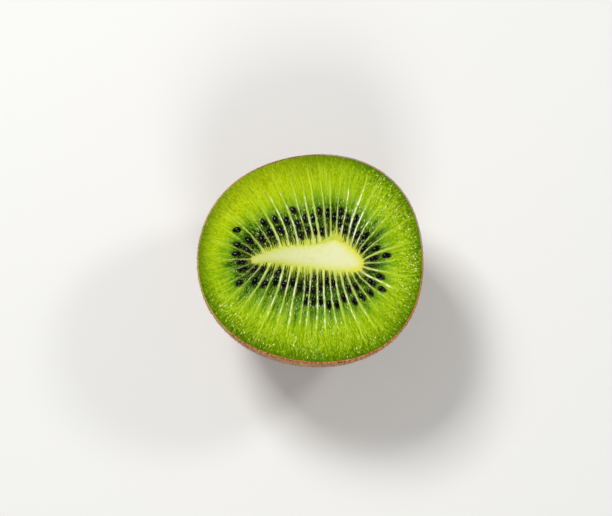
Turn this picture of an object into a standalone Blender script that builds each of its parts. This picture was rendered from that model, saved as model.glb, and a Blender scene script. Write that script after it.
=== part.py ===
"""Half of a kiwi fruit, cut crosswise, standing on its blunt stem end with the cut face up.

Metres, +Z up. The origin is the middle of the small flat spot that the half stands on, and +X runs along
the longer width of the cut face. The half is one solid: its outer form, the low relief of the cut face
and the seeds that stand in the seed chambers are joined into one body.
"""

import math
import random

import bmesh
import bpy
from mathutils import Euler, Matrix, Vector

MM = 0.001

# The whole half
WIDTH = 54.0 * MM
DEPTH = 50.6 * MM
HEIGHT = 33.0 * MM

# Outline of the cut: an oval whose radius swells and dips by these shares as the angle goes round
OUTLINE_LEAN = 0.015
OUTLINE_THREE_CORNERS = 0.0204
OUTLINE_THREE_CORNERS_TURN = math.radians(15.6)
OUTLINE_FOUR_CORNERS = 0.0146

# Side of the half, from the rim down to the flat spot
SIDE_BLUNTNESS = 2.3
SIDE_RINGS = 13
FOOT_RADIUS = 8.0 * MM
SCAR_RADIUS = 3.1 * MM
SCAR_FLOOR_RADIUS = 2.5 * MM
SCAR_DEPTH = 0.8 * MM

# Pale core: its edge's height is given at every 15 degrees of the angle, and its X follows the cosine
CORE_MIDDLE_X = -0.7 * MM
CORE_REACH = 13.4 * MM
CORE_TOP_Y_MM = (-1.3, 0.0, 1.6, 3.4, 5.7, 4.0, 3.3, 3.2, 2.6, 1.7, 0.9, 0.4)
CORE_UNDER_Y_MM = (0.0, -0.4, -0.7, -1.0, -1.3, -1.85, -2.3, -2.8, -3.1, -3.3, -3.3, -2.6)
CORE_INNER_RING = 0.55

# Spokes run from the core to the rim, closer together above and below the core than beyond its ends.
# Their fan leans: it stands upright to the right of the middle, and more so above the core than below
SPOKES = 42
SPOKE_CROWDING = 0.14
FAN_LEAN = math.radians(11.7)
FAN_LEAN_ABOVE = math.radians(4.3)
SPOKE_BEND_X = 1.25
SPOKE_BEND_Y = 0.95

# Relief of the cut face. Outward runs from 0 at the core's edge to 1 at the rim
FACE_RINGS = (0.05, 0.12, 0.2, 0.3, 0.4, 0.5, 0.62, 0.76, 0.9)
CHAMBER_DEPTH = 0.5 * MM
CHAMBER_OPENS = 0.10
CHAMBER_CLOSES_FROM = 0.34
CHAMBER_CLOSES_OVER = 0.30
FLESH_SWELL = 0.25 * MM
CORE_RISE = 0.15 * MM

# Seeds stand in rows in the chambers between the spokes
SEED_LENGTH = 2.3 * MM
SEED_WIDTH = 1.4 * MM
SEED_THICKNESS = 1.05 * MM
SEED_TAPER = 0.3
SEED_SINK = 0.05 * MM
SEED_SIDES = 6
SEED_ROWS = 4
SEED_FIRST_MM = (1.8, 4.6)
SEED_PITCH_MM = (2.3, 3.2)
SEED_LAST_SHARE = 0.37
SEED_FAR_SECTOR = math.radians(325)
SEED_FAR_SHIFT_MM = 1.7
SEED_DROP_SHARE = 0.12
SEED_TURN = math.radians(14)
SEED_CLEARANCE = 1.12
SEED_DRAW = 2105

# Seeds that lie apart from the rows or across them: chamber, distance from the core in mm, turn in degrees
STRAY_SEEDS = (
    (13, 8.7, 35),
    (18, 8.0, 50),
    (23, 7.1, 0),
    (24, 2.1, 63),
    (26, 2.1, -50),
    (30, 8.0, 0),
    (31, 2.1, -50),
)

FLESH, SKIN, CORE, SEED = range(4)
MATERIALS = (
    ("flesh", (0.30, 0.47, 0.02), 0.35),
    ("skin", (0.23, 0.12, 0.05), 0.85),
    ("core", (0.80, 0.81, 0.42), 0.40),
    ("seed", (0.02, 0.012, 0.01), 0.25),
)


def smooth(share):
    """0 up to 0, 1 from 1 on, and a smooth rise between."""
    share = min(1.0, max(0.0, share))
    return share * share * (3 - 2 * share)


def free_outline(angle):
    swell = (
        1.0
        + OUTLINE_LEAN * math.cos(angle)
        - OUTLINE_THREE_CORNERS * math.cos(3 * angle - OUTLINE_THREE_CORNERS_TURN)
        - OUTLINE_FOUR_CORNERS * math.cos(4 * angle)
    )
    return Vector((swell * math.cos(angle), swell * math.sin(angle)))


def outline_box():
    points = [free_outline(math.radians(degree)) for degree in range(360)]
    low = Vector((min(p.x for p in points), min(p.y for p in points)))
    high = Vector((max(p.x for p in points), max(p.y for p in points)))
    return low, high


OUTLINE_LOW, OUTLINE_HIGH = outline_box()


def rim_point(angle):
    """The outline of the cut, fitted to the width and depth and centred on the origin."""
    point, middle, size = free_outline(angle), (OUTLINE_LOW + OUTLINE_HIGH) / 2, OUTLINE_HIGH - OUTLINE_LOW
    return Vector(((point.x - middle.x) / size.x * WIDTH, (point.y - middle.y) / size.y * DEPTH))


def core_point(angle):
    """The edge of the pale core, a closed cubic through the named heights."""
    heights = CORE_TOP_Y_MM + CORE_UNDER_Y_MM
    place = (angle / math.tau % 1.0) * len(heights)
    index = int(place)
    share = place - index
    a, b, c, d = (heights[(index + step) % len(heights)] for step in (-1, 0, 1, 2))
    height = b + 0.5 * share * (c - a + share * (2 * a - 5 * b + 4 * c - d + share * (3 * (b - c) + d - a)))
    return Vector((CORE_MIDDLE_X + CORE_REACH * math.cos(angle), height * MM))


def spoke_angle(turn):
    """The outline's angle for a share of a full turn, crowded above and below the core."""
    return math.tau * turn + SPOKE_CROWDING * math.sin(2 * math.tau * turn)


def core_angle(angle):
    """The core's angle that a spoke of this rim angle starts from."""
    return angle - FAN_LEAN * math.sin(angle) - FAN_LEAN_ABOVE * math.sin(angle) ** 2


def face_point(turn, outward):
    angle = spoke_angle(turn)
    core, rim = core_point(core_angle(angle)), rim_point(angle)
    return Vector((
        core.x + (rim.x - core.x) * outward**SPOKE_BEND_X,
        core.y + (rim.y - core.y) * outward**SPOKE_BEND_Y,
    ))


def face_height(turn, outward):
    """Height of the cut face: chambers sink between the spokes, and the outer flesh swells."""
    between = 0.5 - 0.5 * math.cos(math.tau * SPOKES * turn)
    closing = smooth((outward - CHAMBER_CLOSES_FROM) / CHAMBER_CLOSES_OVER)
    chamber = smooth(outward / CHAMBER_OPENS) * (1 - closing)
    return HEIGHT + FLESH_SWELL * math.sin(math.pi * outward) - CHAMBER_DEPTH * chamber * between


def outward_at(turn, distance):
    """How far out along a chamber lies the point this distance from the core."""
    steps = 100
    walked, last = 0.0, face_point(turn, 0.0)
    for step in range(1, steps + 1):
        point = face_point(turn, step / steps)
        walked += (point - last).length
        last = point
        if walked >= distance:
            return step / steps
    return 1.0


def seed_at(chamber, distance_mm, turned):
    """(place on the face, heading, height of the chamber's floor) of one seed."""
    turn = (chamber + 0.5) / SPOKES
    outward = outward_at(turn, distance_mm * MM)
    place = face_point(turn, outward)
    along = face_point(turn, outward + 0.01) - face_point(turn, outward - 0.01)
    return place, math.atan2(along.y, along.x) + turned, face_height(turn, outward)


def is_clear(place, others):
    """True if a seed here stands clear of the seeds already placed."""
    for other, heading, _ in others:
        apart = Matrix.Rotation(-heading, 2) @ (place - other)
        if math.hypot(apart.x / SEED_LENGTH, apart.y / SEED_WIDTH) < SEED_CLEARANCE:
            return False
    return True


def seed_places():
    draw = random.Random(SEED_DRAW)
    seeds = [seed_at(chamber, distance, math.radians(turned)) for chamber, distance, turned in STRAY_SEEDS]
    for chamber in range(SPOKES):
        turn = (chamber + 0.5) / SPOKES
        shift = SEED_FAR_SHIFT_MM * max(0.0, math.cos(spoke_angle(turn) - SEED_FAR_SECTOR)) ** 4
        length = (face_point(turn, 1.0) - face_point(turn, 0.0)).length / MM
        distance = draw.uniform(*SEED_FIRST_MM) + shift
        while distance < SEED_LAST_SHARE * length + shift:
            seed = seed_at(chamber, distance, draw.uniform(-SEED_TURN, SEED_TURN))
            if draw.random() > SEED_DROP_SHARE and is_clear(seed[0], seeds):
                seeds.append(seed)
            distance += draw.uniform(*SEED_PITCH_MM)
    return seeds


def side_ring(step, count):
    """One level ring of the side. It starts at the rim's outline and ends as a circle at the foot."""
    foot_share = 2 * FOOT_RADIUS / math.sqrt(WIDTH * DEPTH)
    foot_drop = (1 - foot_share**SIDE_BLUNTNESS) ** (1 / SIDE_BLUNTNESS)
    sweep = step / SIDE_RINGS * math.acos(foot_share ** (SIDE_BLUNTNESS / 2))
    share = math.cos(sweep) ** (2 / SIDE_BLUNTNESS)
    drop = math.sin(sweep) ** (2 / SIDE_BLUNTNESS) / foot_drop
    round_share = smooth(drop)
    ring = []
    for index in range(count):
        angle = spoke_angle(index / count)
        rim = rim_point(angle)
        circle = Vector((math.cos(angle), math.sin(angle))) * math.sqrt(WIDTH * DEPTH) / 2
        flat = rim.lerp(circle, round_share) * share
        ring.append(Vector((flat.x, flat.y, HEIGHT * (1 - drop))))
    return ring


def level_circle(radius, height, count):
    angles = [spoke_angle(index / count) for index in range(count)]
    return [Vector((radius * math.cos(a), radius * math.sin(a), height)) for a in angles]


def face_ring(outward, count):
    ring = []
    for index in range(count):
        turn = index / count
        flat = face_point(turn, outward)
        ring.append(Vector((flat.x, flat.y, face_height(turn, outward))))
    return ring


def core_ring(share, count):
    """A ring inside the core, drawn in towards its middle."""
    middle = Vector((CORE_MIDDLE_X, 0.0))
    ring = []
    for index in range(count):
        flat = middle.lerp(face_point(index / count, 0.0), share)
        ring.append(Vector((flat.x, flat.y, HEIGHT + CORE_RISE * (1 - share**2))))
    return ring


def lofted(rings, first_cap, last_cap, materials):
    """A closed mesh through level rings of equal length, with a fan to a point at each end."""
    mesh = bmesh.new()
    rows = [[mesh.verts.new(point) for point in ring] for ring in rings]
    count = len(rings[0])
    first, last = mesh.verts.new(first_cap), mesh.verts.new(last_cap)
    for index in range(count):
        after = (index + 1) % count
        mesh.faces.new((first, rows[0][index], rows[0][after])).material_index = materials[0]
        for (upper, lower), material in zip(zip(rows, rows[1:]), materials[1:]):
            face = mesh.faces.new((upper[index], lower[index], lower[after], upper[after]))
            face.material_index = material
        mesh.faces.new((last, rows[-1][after], rows[-1][index])).material_index = SKIN
    bmesh.ops.recalc_face_normals(mesh, faces=mesh.faces)
    return mesh


def make_material(name, colour, roughness):
    material = bpy.data.materials.new(name)
    material.use_nodes = True
    shader = material.node_tree.nodes["Principled BSDF"]
    shader.inputs["Base Color"].default_value = (*colour, 1.0)
    shader.inputs["Roughness"].default_value = roughness
    shader.inputs["Metallic"].default_value = 0.0
    return material


def make_object(name, mesh, materials, collection):
    data = bpy.data.meshes.new(name)
    mesh.to_mesh(data)
    mesh.free()
    for material in materials:
        data.materials.append(material)
    made = bpy.data.objects.new(name, data)
    collection.objects.link(made)
    return made


def make_half(materials):
    """The half without its seeds: core, cut face, side, foot and the sunk stem scar under it."""
    count = 2 * SPOKES
    inner = [core_ring(CORE_INNER_RING, count), core_ring(1.0, count)]
    face = [face_ring(outward, count) for outward in FACE_RINGS]
    side = [side_ring(step, count) for step in range(SIDE_RINGS + 1)]
    scar = [level_circle(SCAR_RADIUS, 0.0, count), level_circle(SCAR_FLOOR_RADIUS, SCAR_DEPTH, count)]
    bands = [CORE, CORE] + [FLESH] * (len(face) + 1) + [SKIN] * (len(side) - 1 + len(scar))
    rings = inner + face + side + scar
    top = Vector((CORE_MIDDLE_X, 0.0, HEIGHT + CORE_RISE))
    mesh = lofted(rings, top, Vector((0.0, 0.0, SCAR_DEPTH)), bands)
    return make_object("kiwi_half", mesh, materials, bpy.context.scene.collection)


def make_seed(seed, materials, collection):
    """A flattened, pointed bead lying on the chamber's floor, with its poles along its length."""
    place, heading, floor = seed
    mesh = bmesh.new()
    bmesh.ops.create_uvsphere(mesh, u_segments=SEED_SIDES, v_segments=SEED_ROWS, radius=0.5)
    for vertex in mesh.verts:
        narrow = 1 - SEED_TAPER * vertex.co.z * 2
        vertex.co.x *= SEED_WIDTH * narrow
        vertex.co.y *= SEED_THICKNESS * narrow
        vertex.co.z *= SEED_LENGTH
    for face in mesh.faces:
        face.material_index = SEED
    lie_down = Euler((math.pi / 2, 0.0, heading + math.pi / 2)).to_matrix().to_4x4()
    stand = Matrix.Translation((place.x, place.y, floor - SEED_SINK))
    mesh.transform(stand @ lie_down)
    return make_object("seed", mesh, materials, collection)


def fuse(body, collection):
    """Joins the collection's objects to the body by one Boolean union, then removes them."""
    union = body.modifiers.new("seeds", "BOOLEAN")
    union.operation = "UNION"
    union.operand_type = "COLLECTION"
    union.collection = collection
    union.solver = "EXACT"
    bpy.context.view_layer.update()
    graph = bpy.context.evaluated_depsgraph_get()
    joined = bpy.data.meshes.new_from_object(body.evaluated_get(graph))
    body.modifiers.clear()
    body.data = joined
    for item in list(collection.objects):
        bpy.data.objects.remove(item)
    bpy.data.collections.remove(collection)


def main():
    for item in list(bpy.data.objects):
        bpy.data.objects.remove(item)
    materials = [make_material(*values) for values in MATERIALS]
    half = make_half(materials)
    seeds = bpy.data.collections.new("seeds")
    bpy.context.scene.collection.children.link(seeds)
    for seed in seed_places():
        make_seed(seed, materials, seeds)
    fuse(half, seeds)
    half.data.shade_smooth()
    half.data.set_sharp_from_angle(angle=math.radians(40))


main()
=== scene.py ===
"""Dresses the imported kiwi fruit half: moist ribbed flesh, pale core, glossy seeds and thin downy skin.

Metres, +Z up, in the frame of the CAD part. The cut face is laid out on a fan of spokes between the
core's edge and the rim, as in the part's source, and every piece is worked out from that fan.
"""

import math
import random

import bpy
import numpy as np
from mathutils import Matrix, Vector


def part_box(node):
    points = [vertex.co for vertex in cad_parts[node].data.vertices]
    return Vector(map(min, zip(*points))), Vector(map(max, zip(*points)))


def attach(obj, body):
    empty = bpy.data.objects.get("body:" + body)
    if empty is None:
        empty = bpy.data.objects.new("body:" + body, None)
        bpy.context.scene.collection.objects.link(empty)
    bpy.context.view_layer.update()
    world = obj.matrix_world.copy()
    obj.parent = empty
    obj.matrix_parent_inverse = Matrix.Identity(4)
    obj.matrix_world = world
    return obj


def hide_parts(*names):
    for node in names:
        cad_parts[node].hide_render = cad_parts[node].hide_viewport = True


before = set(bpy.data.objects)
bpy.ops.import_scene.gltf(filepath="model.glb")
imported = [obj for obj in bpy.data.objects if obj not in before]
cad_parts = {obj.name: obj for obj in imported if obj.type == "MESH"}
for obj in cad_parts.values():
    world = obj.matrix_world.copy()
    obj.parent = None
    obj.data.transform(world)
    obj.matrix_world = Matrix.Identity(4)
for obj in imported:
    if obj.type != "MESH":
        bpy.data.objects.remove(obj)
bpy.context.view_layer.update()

MM = 0.001
TAU = math.tau
NODE = "kiwi_half"

# The whole half, from the frame
NODE_LOW, NODE_HIGH = (np.array(corner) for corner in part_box(NODE))
WIDTH, DEPTH = (NODE_HIGH - NODE_LOW)[:2]
HEIGHT = 33.0 * MM

# Outline, side and foot, as in the part
OUTLINE_LEAN = 0.015
OUTLINE_THREE_CORNERS = 0.0204
OUTLINE_THREE_CORNERS_TURN = math.radians(15.6)
OUTLINE_FOUR_CORNERS = 0.0146
SIDE_BLUNTNESS = 2.3
FOOT_RADIUS = 8.0 * MM
SCAR_RADIUS = 3.1 * MM
SCAR_FLOOR_RADIUS = 2.5 * MM
SCAR_DEPTH = 0.8 * MM

# Core and fan of spokes, as in the part
CORE_MIDDLE_X = -0.7 * MM
CORE_REACH = 13.4 * MM
CORE_TOP_Y_MM = (-1.3, 0.0, 1.6, 3.4, 5.7, 4.0, 3.3, 3.2, 2.6, 1.7, 0.9, 0.4)
CORE_UNDER_Y_MM = (0.0, -0.4, -0.7, -1.0, -1.3, -1.85, -2.3, -2.8, -3.1, -3.3, -3.3, -2.6)
CORE_RISE = 0.15 * MM
SPOKES = 42
SPOKE_CROWDING = 0.14
FAN_LEAN = math.radians(11.7)
FAN_LEAN_ABOVE = math.radians(4.3)
SPOKE_BEND_X = 1.25
SPOKE_BEND_Y = 0.95

# Relief of the cut face, as in the part
CHAMBER_DEPTH = 0.5 * MM
CHAMBER_OPENS = 0.10
CHAMBER_CLOSES_FROM = 0.34
CHAMBER_CLOSES_OVER = 0.30
FLESH_SWELL = 0.25 * MM

# Seeds, as in the part
SEED_LENGTH = 2.3 * MM
SEED_WIDTH = 1.4 * MM
SEED_THICKNESS = 1.05 * MM
SEED_TAPER = 0.3
SEED_SINK = 0.05 * MM
SEED_FIRST_MM = (1.8, 4.6)
SEED_PITCH_MM = (2.3, 3.2)
SEED_LAST_SHARE = 0.37
SEED_FAR_SECTOR = math.radians(325)
SEED_FAR_SHIFT_MM = 1.7
SEED_DROP_SHARE = 0.12
SEED_TURN = math.radians(14)
SEED_CLEARANCE = 1.12
SEED_DRAW = 2105

# Seeds out of their rows, as in the part: chamber, distance from the core in mm, and turn in degrees
STRAY_SEEDS = (
    (13, 8.7, 35),
    (18, 8.0, 50),
    (23, 7.1, 0),
    (24, 2.1, 63),
    (26, 2.1, -50),
    (30, 8.0, 0),
    (31, 2.1, -50),
)

# Fineness of the dressed pieces
COLUMNS_PER_SPOKE = 18
FACE_ROWS = 104
FACE_ROWS_REACH = 0.972
RIM_ROWS = (0.980, 0.987, 0.994, 1.0)
CORE_ROWS = 22
BODY_ROWS = 10
SKIN_COLUMNS = 504
SKIN_ROWS = 80
SKIN_TOP_ROWS = (0, 0.0006, 0.002, 0.006)
SKIN_INSIDE_STEP = 6

# Flesh: pale spokes, dark seed chambers between them, and the fine relief of the cut
SPOKE_HALF_WIDTH = 0.29 * MM
SPOKE_RIDGE = 0.10 * MM
FIBRE_RELIEF = 0.020 * MM
RIM_ROLL = 0.03 * MM
DEEP_SEED_DROP_SHARE = 0.42
DEEP_SEED_REACH = 0.42

# Core: where its left end is fuller than in the part, and its plug in the flesh's socket, as shares
# of the core's width and of the socket's depth
CORE_BLUNTED_AT = math.radians(198)
CORE_BLUNTED_OVER = math.radians(18)
CORE_BLUNTING = 0.7 * MM
CORE_GRAIN = 0.012 * MM
CORE_SOCKET_DEPTH = 1.6 * MM
SOCKET_WALL_DEPTH_SHARE = 0.7
SOCKET_FLOOR_WIDTH_SHARE = 0.8
CORE_PLUG_SHARES = ((0.93, 0.6), (0.75, 0.92))

# Sectors of the face: middle and spread in degrees, and how strongly each shows
DARKER_SECTORS = (
    (180, 40, 0.11),
    (318, 24, -0.12),
    (95, 34, -0.08),
    (50, 22, -0.09),
    (262, 26, -0.07),
    (226, 20, -0.06),
)
STREAKED_SECTORS = ((275, 60, 1.3), (15, 46, 0.8), (225, 30, 0.4))
DIM_SPOKE_SECTORS = ((178, 34, 0.45),)
# Painted glints: sectors where near-white highlights are painted along the spokes and as beads in the
# seed chambers
GLINT_SECTORS = ((56, 18, 2.4), (268, 46, 1.2), (112, 18, 1.0), (338, 16, 0.9))
SPECKLED_SECTORS = ((40, 26, 1.0), (352, 34, 0.8), (278, 34, 1.0), (222, 22, 0.8))

# Seeds as they vary: least and greatest share of the length, width and thickness, and sideways bend
SEED_LEAST_SHARES = (0.84, 0.84, 0.85)
SEED_GREATEST_SHARES = (1.04, 1.04, 1.0)
SEED_BEND = 0.10

# Skin, with the profile under its foot as radius and height: into the stem scar, and back inside
SKIN_THICKNESS = 0.34 * MM
SKIN_LIP = 0.10 * MM
SKIN_RAGGED_EDGE = 0.06 * MM
FOOT_OUTSIDE = (
    (6.4 * MM, 0.0),
    (4.8 * MM, 0.0),
    (3.3 * MM, 0.0),
    (SCAR_RADIUS, 0.05 * MM),
    (2.8 * MM, 0.5 * MM),
    (SCAR_FLOOR_RADIUS, SCAR_DEPTH),
)
FOOT_INSIDE = ((2.8 * MM, 1.1 * MM), (3.4 * MM, 0.4 * MM), (5.6 * MM, 0.34 * MM))

# Down on the skin
HAIRS = 15000
HAIR_LENGTH_MM = (0.45, 1.0)
HAIR_RADIUS = 0.026 * MM
HAIR_TILT = (math.radians(58), math.radians(84))
HAIR_BEND = 0.35
HAIR_ROOT_DEPTH = 0.06 * MM
HAIR_LOWEST = 0.03 * MM

# Camera, over the near edge of the cut face
FRAME_WIDTH_PX = 612
FACE_MM_PER_PX = 0.2384
FACE_RIGHT_OF_MIDDLE_PX = 4.15
FACE_ABOVE_MIDDLE_PX = -0.1
CAMERA_ELEVATION = math.radians(80.5)
CAMERA_DISTANCE = 0.75
SENSOR_WIDTH_MM = 36.0

# Soft square lights: azimuth from +X towards +Y and elevation in degrees, side in metres, and power
LIGHTS = {"key": (130, 52, 0.22, 3.7), "side": (25, 40, 0.12, 1.1), "front": (275, 42, 0.26, 1.7)}
LIGHT_DISTANCE = 0.7
SKY_STRENGTH = 0.16
FLOOR_HALF = 1.5
FLOOR_DROP = 0.02 * MM

# Colour ramps: place on the ramp, then red, green and blue as display values of 0 to 255
FLESH_COLOURS = (
    (0.00, 120, 138, 28),
    (0.02, 66, 90, 12),
    (0.05, 38, 62, 7),
    (0.10, 26, 54, 6),
    (0.18, 20, 49, 5),
    (0.30, 40, 85, 4),
    (0.38, 77, 126, 5),
    (0.46, 113, 156, 5),
    (0.56, 139, 174, 4),
    (0.66, 155, 185, 5),
    (0.76, 149, 179, 4),
    (0.86, 128, 158, 3),
    (0.93, 106, 138, 2),
    (1.00, 86, 118, 3),
)
SPOKE_COLOURS = (
    (0.00, 224, 230, 134),
    (0.08, 214, 224, 128),
    (0.20, 202, 219, 124),
    (0.40, 196, 218, 96),
    (0.58, 198, 218, 60),
    (0.80, 182, 208, 36),
)
CORE_COLOURS = (
    (0.00, 190, 199, 60),
    (0.08, 206, 213, 78),
    (0.18, 216, 221, 96),
    (0.36, 221, 225, 132),
    (0.62, 226, 228, 164),
    (1.00, 228, 229, 176),
)
RUSSET_COLOURS = ((0.28, 124, 68, 26), (0.45, 164, 98, 42), (0.58, 186, 118, 52), (0.75, 170, 116, 46))
BROWN_COLOURS = ((0.30, 104, 70, 34), (0.46, 134, 95, 50), (0.60, 154, 113, 64), (0.75, 134, 106, 54))
SCAR_COLOURS = ((0.3, 58, 38, 22), (0.5, 112, 82, 48), (0.7, 164, 130, 84))

# Bright specks on the outer flesh, partly pale juice cells and partly painted glints: cells round and
# outwards, rarity, strength and colour
SPECKS_AND_GLINTS = ((78, 32, 0.82, 0.95, (200, 224, 66)), (66, 26, 1.04, 1.0, (236, 248, 160)))


def ease(share):
    """0 up to 0, 1 from 1 on, and a smooth rise between."""
    share = np.clip(share, 0.0, 1.0)
    return share * share * (3 - 2 * share)


def wrapped(offset, period):
    """An offset brought to the nearer side of a closed round."""
    return (offset + period / 2) % period - period / 2


def free_outline(angle):
    """The outline of the cut face, before it is fitted to the part's width and depth."""
    swell = (
        1.0
        + OUTLINE_LEAN * np.cos(angle)
        - OUTLINE_THREE_CORNERS * np.cos(3 * angle - OUTLINE_THREE_CORNERS_TURN)
        - OUTLINE_FOUR_CORNERS * np.cos(4 * angle)
    )
    return np.stack((swell * np.cos(angle), swell * np.sin(angle)), axis=-1)


OUTLINE_DEGREES = free_outline(np.radians(np.arange(360)))
OUTLINE_LOW, OUTLINE_HIGH = OUTLINE_DEGREES.min(axis=0), OUTLINE_DEGREES.max(axis=0)


def rim_point(angle):
    middle, size = (OUTLINE_LOW + OUTLINE_HIGH) / 2, OUTLINE_HIGH - OUTLINE_LOW
    return (free_outline(angle) - middle) / size * (WIDTH, DEPTH)


def core_point(angle):
    """The edge of the pale core, a closed cubic through the named heights."""
    heights = np.array(CORE_TOP_Y_MM + CORE_UNDER_Y_MM)
    place = (angle / TAU % 1.0) * len(heights)
    index = np.floor(place).astype(int)
    share = place - index
    a, b, c, d = (heights[(index + step) % len(heights)] for step in (-1, 0, 1, 2))
    bend = 2 * a - 5 * b + 4 * c - d + share * (3 * (b - c) + d - a)
    height = b + 0.5 * share * (c - a + share * bend)
    return np.stack((CORE_MIDDLE_X + CORE_REACH * np.cos(angle), height * MM), axis=-1)


def spoke_angle(turn):
    return TAU * turn + SPOKE_CROWDING * np.sin(2 * TAU * turn)


def core_angle(angle):
    return angle - FAN_LEAN * np.sin(angle) - FAN_LEAN_ABOVE * np.sin(angle) ** 2


def face_point(turn, outward):
    """Points of the cut face: outward is -1 in the core's middle, 0 on its edge and 1 at the rim."""
    angle = spoke_angle(turn)
    core, rim = core_point(core_angle(angle)), rim_point(angle)
    beyond, within = np.clip(outward, 0.0, 1.0), np.clip(-outward, 0.0, 1.0)
    x = core[..., 0] + (rim[..., 0] - core[..., 0]) * beyond**SPOKE_BEND_X
    y = core[..., 1] + (rim[..., 1] - core[..., 1]) * beyond**SPOKE_BEND_Y
    return np.stack((x + (CORE_MIDDLE_X - x) * within, y * (1 - within)), axis=-1)


def blunted_point(turn, outward):
    """Points of the cut face, with the core's left end fuller on its lower side."""
    points = face_point(turn, outward)
    off = wrapped(core_angle(spoke_angle(turn)) - CORE_BLUNTED_AT, TAU) / CORE_BLUNTED_OVER
    points[..., 1] -= CORE_BLUNTING * np.exp(-(off**2)) * np.clip(1 - np.abs(outward), 0, 1) ** 2
    return points


def face_height(turn, outward):
    """The part's own relief: chambers sink between the spokes, and the outer flesh swells."""
    between = 0.5 - 0.5 * np.cos(TAU * SPOKES * turn)
    closing = ease((outward - CHAMBER_CLOSES_FROM) / CHAMBER_CLOSES_OVER)
    chamber = ease(outward / CHAMBER_OPENS) * (1 - closing)
    return HEIGHT + FLESH_SWELL * np.sin(math.pi * outward) - CHAMBER_DEPTH * chamber * between


def spoke_pitch(turn, outward):
    """Distance between neighbouring spokes."""
    quarter = 0.25 / SPOKES
    apart = face_point(turn + quarter, outward) - face_point(turn - quarter, outward)
    return np.linalg.norm(apart, axis=-1) * 2


def side_point(turn, down):
    """Points of the outer side. Down is 0 at the rim and 1 on the edge of the flat foot."""
    foot_share = 2 * FOOT_RADIUS / math.sqrt(WIDTH * DEPTH)
    foot_drop = (1 - foot_share**SIDE_BLUNTNESS) ** (1 / SIDE_BLUNTNESS)
    sweep = down * math.acos(foot_share ** (SIDE_BLUNTNESS / 2))
    share = np.cos(sweep) ** (2 / SIDE_BLUNTNESS)
    drop = np.sin(sweep) ** (2 / SIDE_BLUNTNESS) / foot_drop
    angle = spoke_angle(turn)
    rim = rim_point(angle)
    circle = np.stack((np.cos(angle), np.sin(angle)), axis=-1) * math.sqrt(WIDTH * DEPTH) / 2
    flat = (rim + (circle - rim) * ease(drop)[..., None]) * share[..., None]
    return np.dstack((flat, np.broadcast_to(HEIGHT * (1 - drop), flat.shape[:-1])))


def side_frame(turn, down):
    """(points, normals, directions round the fruit, directions down its side) of the outer side."""
    step = 1e-4
    lower, upper = np.clip(down + step, 0, 1), np.clip(down - step, 0, 1)
    round_it = side_point(turn + step, down) - side_point(turn - step, down)
    down_it = side_point(turn, lower) - side_point(turn, upper)
    round_it /= np.linalg.norm(round_it, axis=-1, keepdims=True)
    down_it /= np.linalg.norm(down_it, axis=-1, keepdims=True)
    normal = np.cross(down_it, round_it)
    normal = normal / np.linalg.norm(normal, axis=-1, keepdims=True)
    return side_point(turn, down), normal, round_it, down_it


def drift(turn, along, cells_round, cells_along, draw):
    """Smooth noise from -1 to 1 that closes without a seam round the turn."""
    values = draw.uniform(-1, 1, (cells_round, cells_along + 2))
    across, length = (turn % 1.0) * cells_round, np.clip(along, 0, 1) * cells_along
    i, j = np.floor(across).astype(int), np.floor(length).astype(int)
    a, b = ease(across - i), ease(length - j)
    left, right = i % cells_round, (i + 1) % cells_round
    low = values[left, j] * (1 - a) + values[right, j] * a
    high = values[left, j + 1] * (1 - a) + values[right, j + 1] * a
    return low * (1 - b) + high * b


def outward_at(turn, distance):
    """How far out along a chamber lies the point this distance from the core."""
    shares = np.arange(101) / 100
    steps = np.linalg.norm(np.diff(face_point(np.full(101, turn), shares), axis=0), axis=1)
    beyond = np.nonzero(np.cumsum(steps) >= distance)[0]
    return shares[beyond[0] + 1] if len(beyond) else 1.0


def seed_at(chamber, distance_mm, turned):
    """(place on the face, heading, height of the chamber's floor) of one seed."""
    turn = (chamber + 0.5) / SPOKES
    outward = outward_at(turn, distance_mm * MM)
    along = face_point(turn, outward + 0.01) - face_point(turn, outward - 0.01)
    heading = math.atan2(along[1], along[0]) + turned
    return face_point(turn, outward), heading, face_height(turn, outward)


def seed_offsets(points, seed):
    """(along, across): how far the points lie from a seed's middle, in the seed's own directions."""
    place, heading, _ = seed
    x, y = points[..., 0] - place[0], points[..., 1] - place[1]
    cosine, sine = math.cos(heading), math.sin(heading)
    return x * cosine + y * sine, y * cosine - x * sine


def is_clear(place, others):
    """True if a seed here stands clear of the seeds already placed."""
    for other in others:
        along, across = seed_offsets(place, other)
        if math.hypot(along / SEED_LENGTH, across / SEED_WIDTH) < SEED_CLEARANCE:
            return False
    return True


def seed_places():
    """The seeds of the part, by its own rule and draw."""
    draw = random.Random(SEED_DRAW)
    seeds = []
    for chamber, distance, turned in STRAY_SEEDS:
        seeds.append(seed_at(chamber, distance, math.radians(turned)))
    for chamber in range(SPOKES):
        turn = (chamber + 0.5) / SPOKES
        shift = SEED_FAR_SHIFT_MM * max(0.0, math.cos(spoke_angle(turn) - SEED_FAR_SECTOR)) ** 4
        length = np.linalg.norm(face_point(turn, 1.0) - face_point(turn, 0.0)) / MM
        distance = draw.uniform(*SEED_FIRST_MM) + shift
        while distance < SEED_LAST_SHARE * length + shift:
            seed = seed_at(chamber, distance, draw.uniform(-SEED_TURN, SEED_TURN))
            if draw.random() > SEED_DROP_SHARE and is_clear(seed[0], seeds):
                seeds.append(seed)
            distance += draw.uniform(*SEED_PITCH_MM)
    return seeds


def seed_distance(points, seed, length, width):
    """Distance from a seed's middle in its own sizes: 1 on an outline of this length and width."""
    along, across = seed_offsets(points, seed)
    return np.sqrt((along / (length / 2)) ** 2 + (across / (width / 2)) ** 2)


def in_sectors(turn, sectors):
    """How strongly these sectors show at a place on the face's round."""
    degrees = np.degrees(spoke_angle(turn))
    return sum(
        strength * np.exp(-((wrapped(degrees - middle, 360) / spread) ** 2))
        for middle, spread, strength in sectors
    )


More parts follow.
